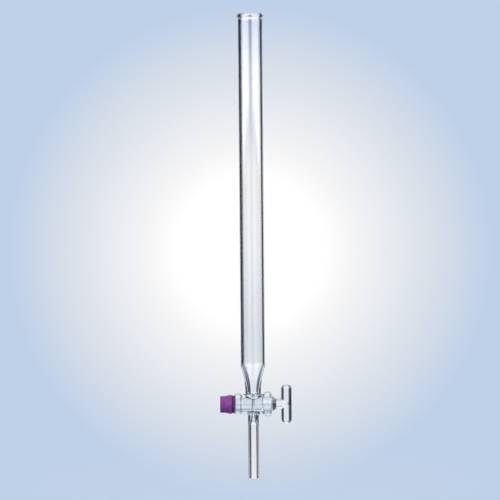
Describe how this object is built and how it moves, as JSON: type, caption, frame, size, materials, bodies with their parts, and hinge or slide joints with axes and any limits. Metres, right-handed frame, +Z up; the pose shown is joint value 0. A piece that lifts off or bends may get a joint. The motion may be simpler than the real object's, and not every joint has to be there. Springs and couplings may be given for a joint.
{
  "type": "chromatography column",
  "caption": "Glass chromatography column: beaded open tube drawn down to a glass stopcock with a T-handle key, plastic retaining nut and straight outlet stem.",
  "frame": {"origin": "the point on the column tube's axis where a laboratory clamp grips it, 200 mm above the stopcock's axis", "axes": "+Z up along the tube's axis, towards the open rim; +X along the stopcock, from its retaining nut towards its T-handle"},
  "size_m": [0.0646, 0.0242, 0.4192],
  "materials": {
    "column_tube": "clear polished borosilicate glass",
    "drawn_cone": "clear polished borosilicate glass",
    "stopcock_barrel": "clear worked borosilicate glass, ground inside the bore",
    "outlet_stem": "clear polished borosilicate glass, fire-polished tip",
    "stopcock_plug": "solid borosilicate glass, finely ground on the taper",
    "plug_handle": "solid clear glass rod with fire-polished ends",
    "retaining_washer": "smooth dark violet plastic",
    "retaining_o_ring": "satin dark elastomer",
    "retaining_nut": "satin moulded purple plastic with grip ribs"
  },
  "bodies": {
    "glass": {"column_tube": "column_tube", "drawn_cone": "drawn_cone", "stopcock_barrel": "stopcock_barrel", "outlet_stem": "outlet_stem"},
    "key": {"stopcock_plug": "stopcock_plug", "plug_handle": "plug_handle"},
    "seals": {"retaining_washer": "retaining_washer", "retaining_o_ring": "retaining_o_ring"},
    "nut": {"retaining_nut": "retaining_nut"}
  },
  "joints": [
    {"name": "key_turn", "type": "hinge", "parent": "glass", "child": "key", "pos_m": [0, 0, -0.2], "axis": [1, 0, 0], "continuous": true},
    {"name": "nut_travel", "type": "slide", "parent": "key", "child": "seals", "axis": [-1, 0, 0], "range_m": [0, 0.006]},
    {"name": "nut_turn", "type": "hinge", "parent": "seals", "child": "nut", "pos_m": [-0.025, 0, -0.2], "axis": [-1, 0, 0], "range_deg": [0, 1080]}
  ],
  "couplings": [
    {"joint": "nut_turn", "follows": "nut_travel", "rad_per_m": 3141.5}
  ]
}
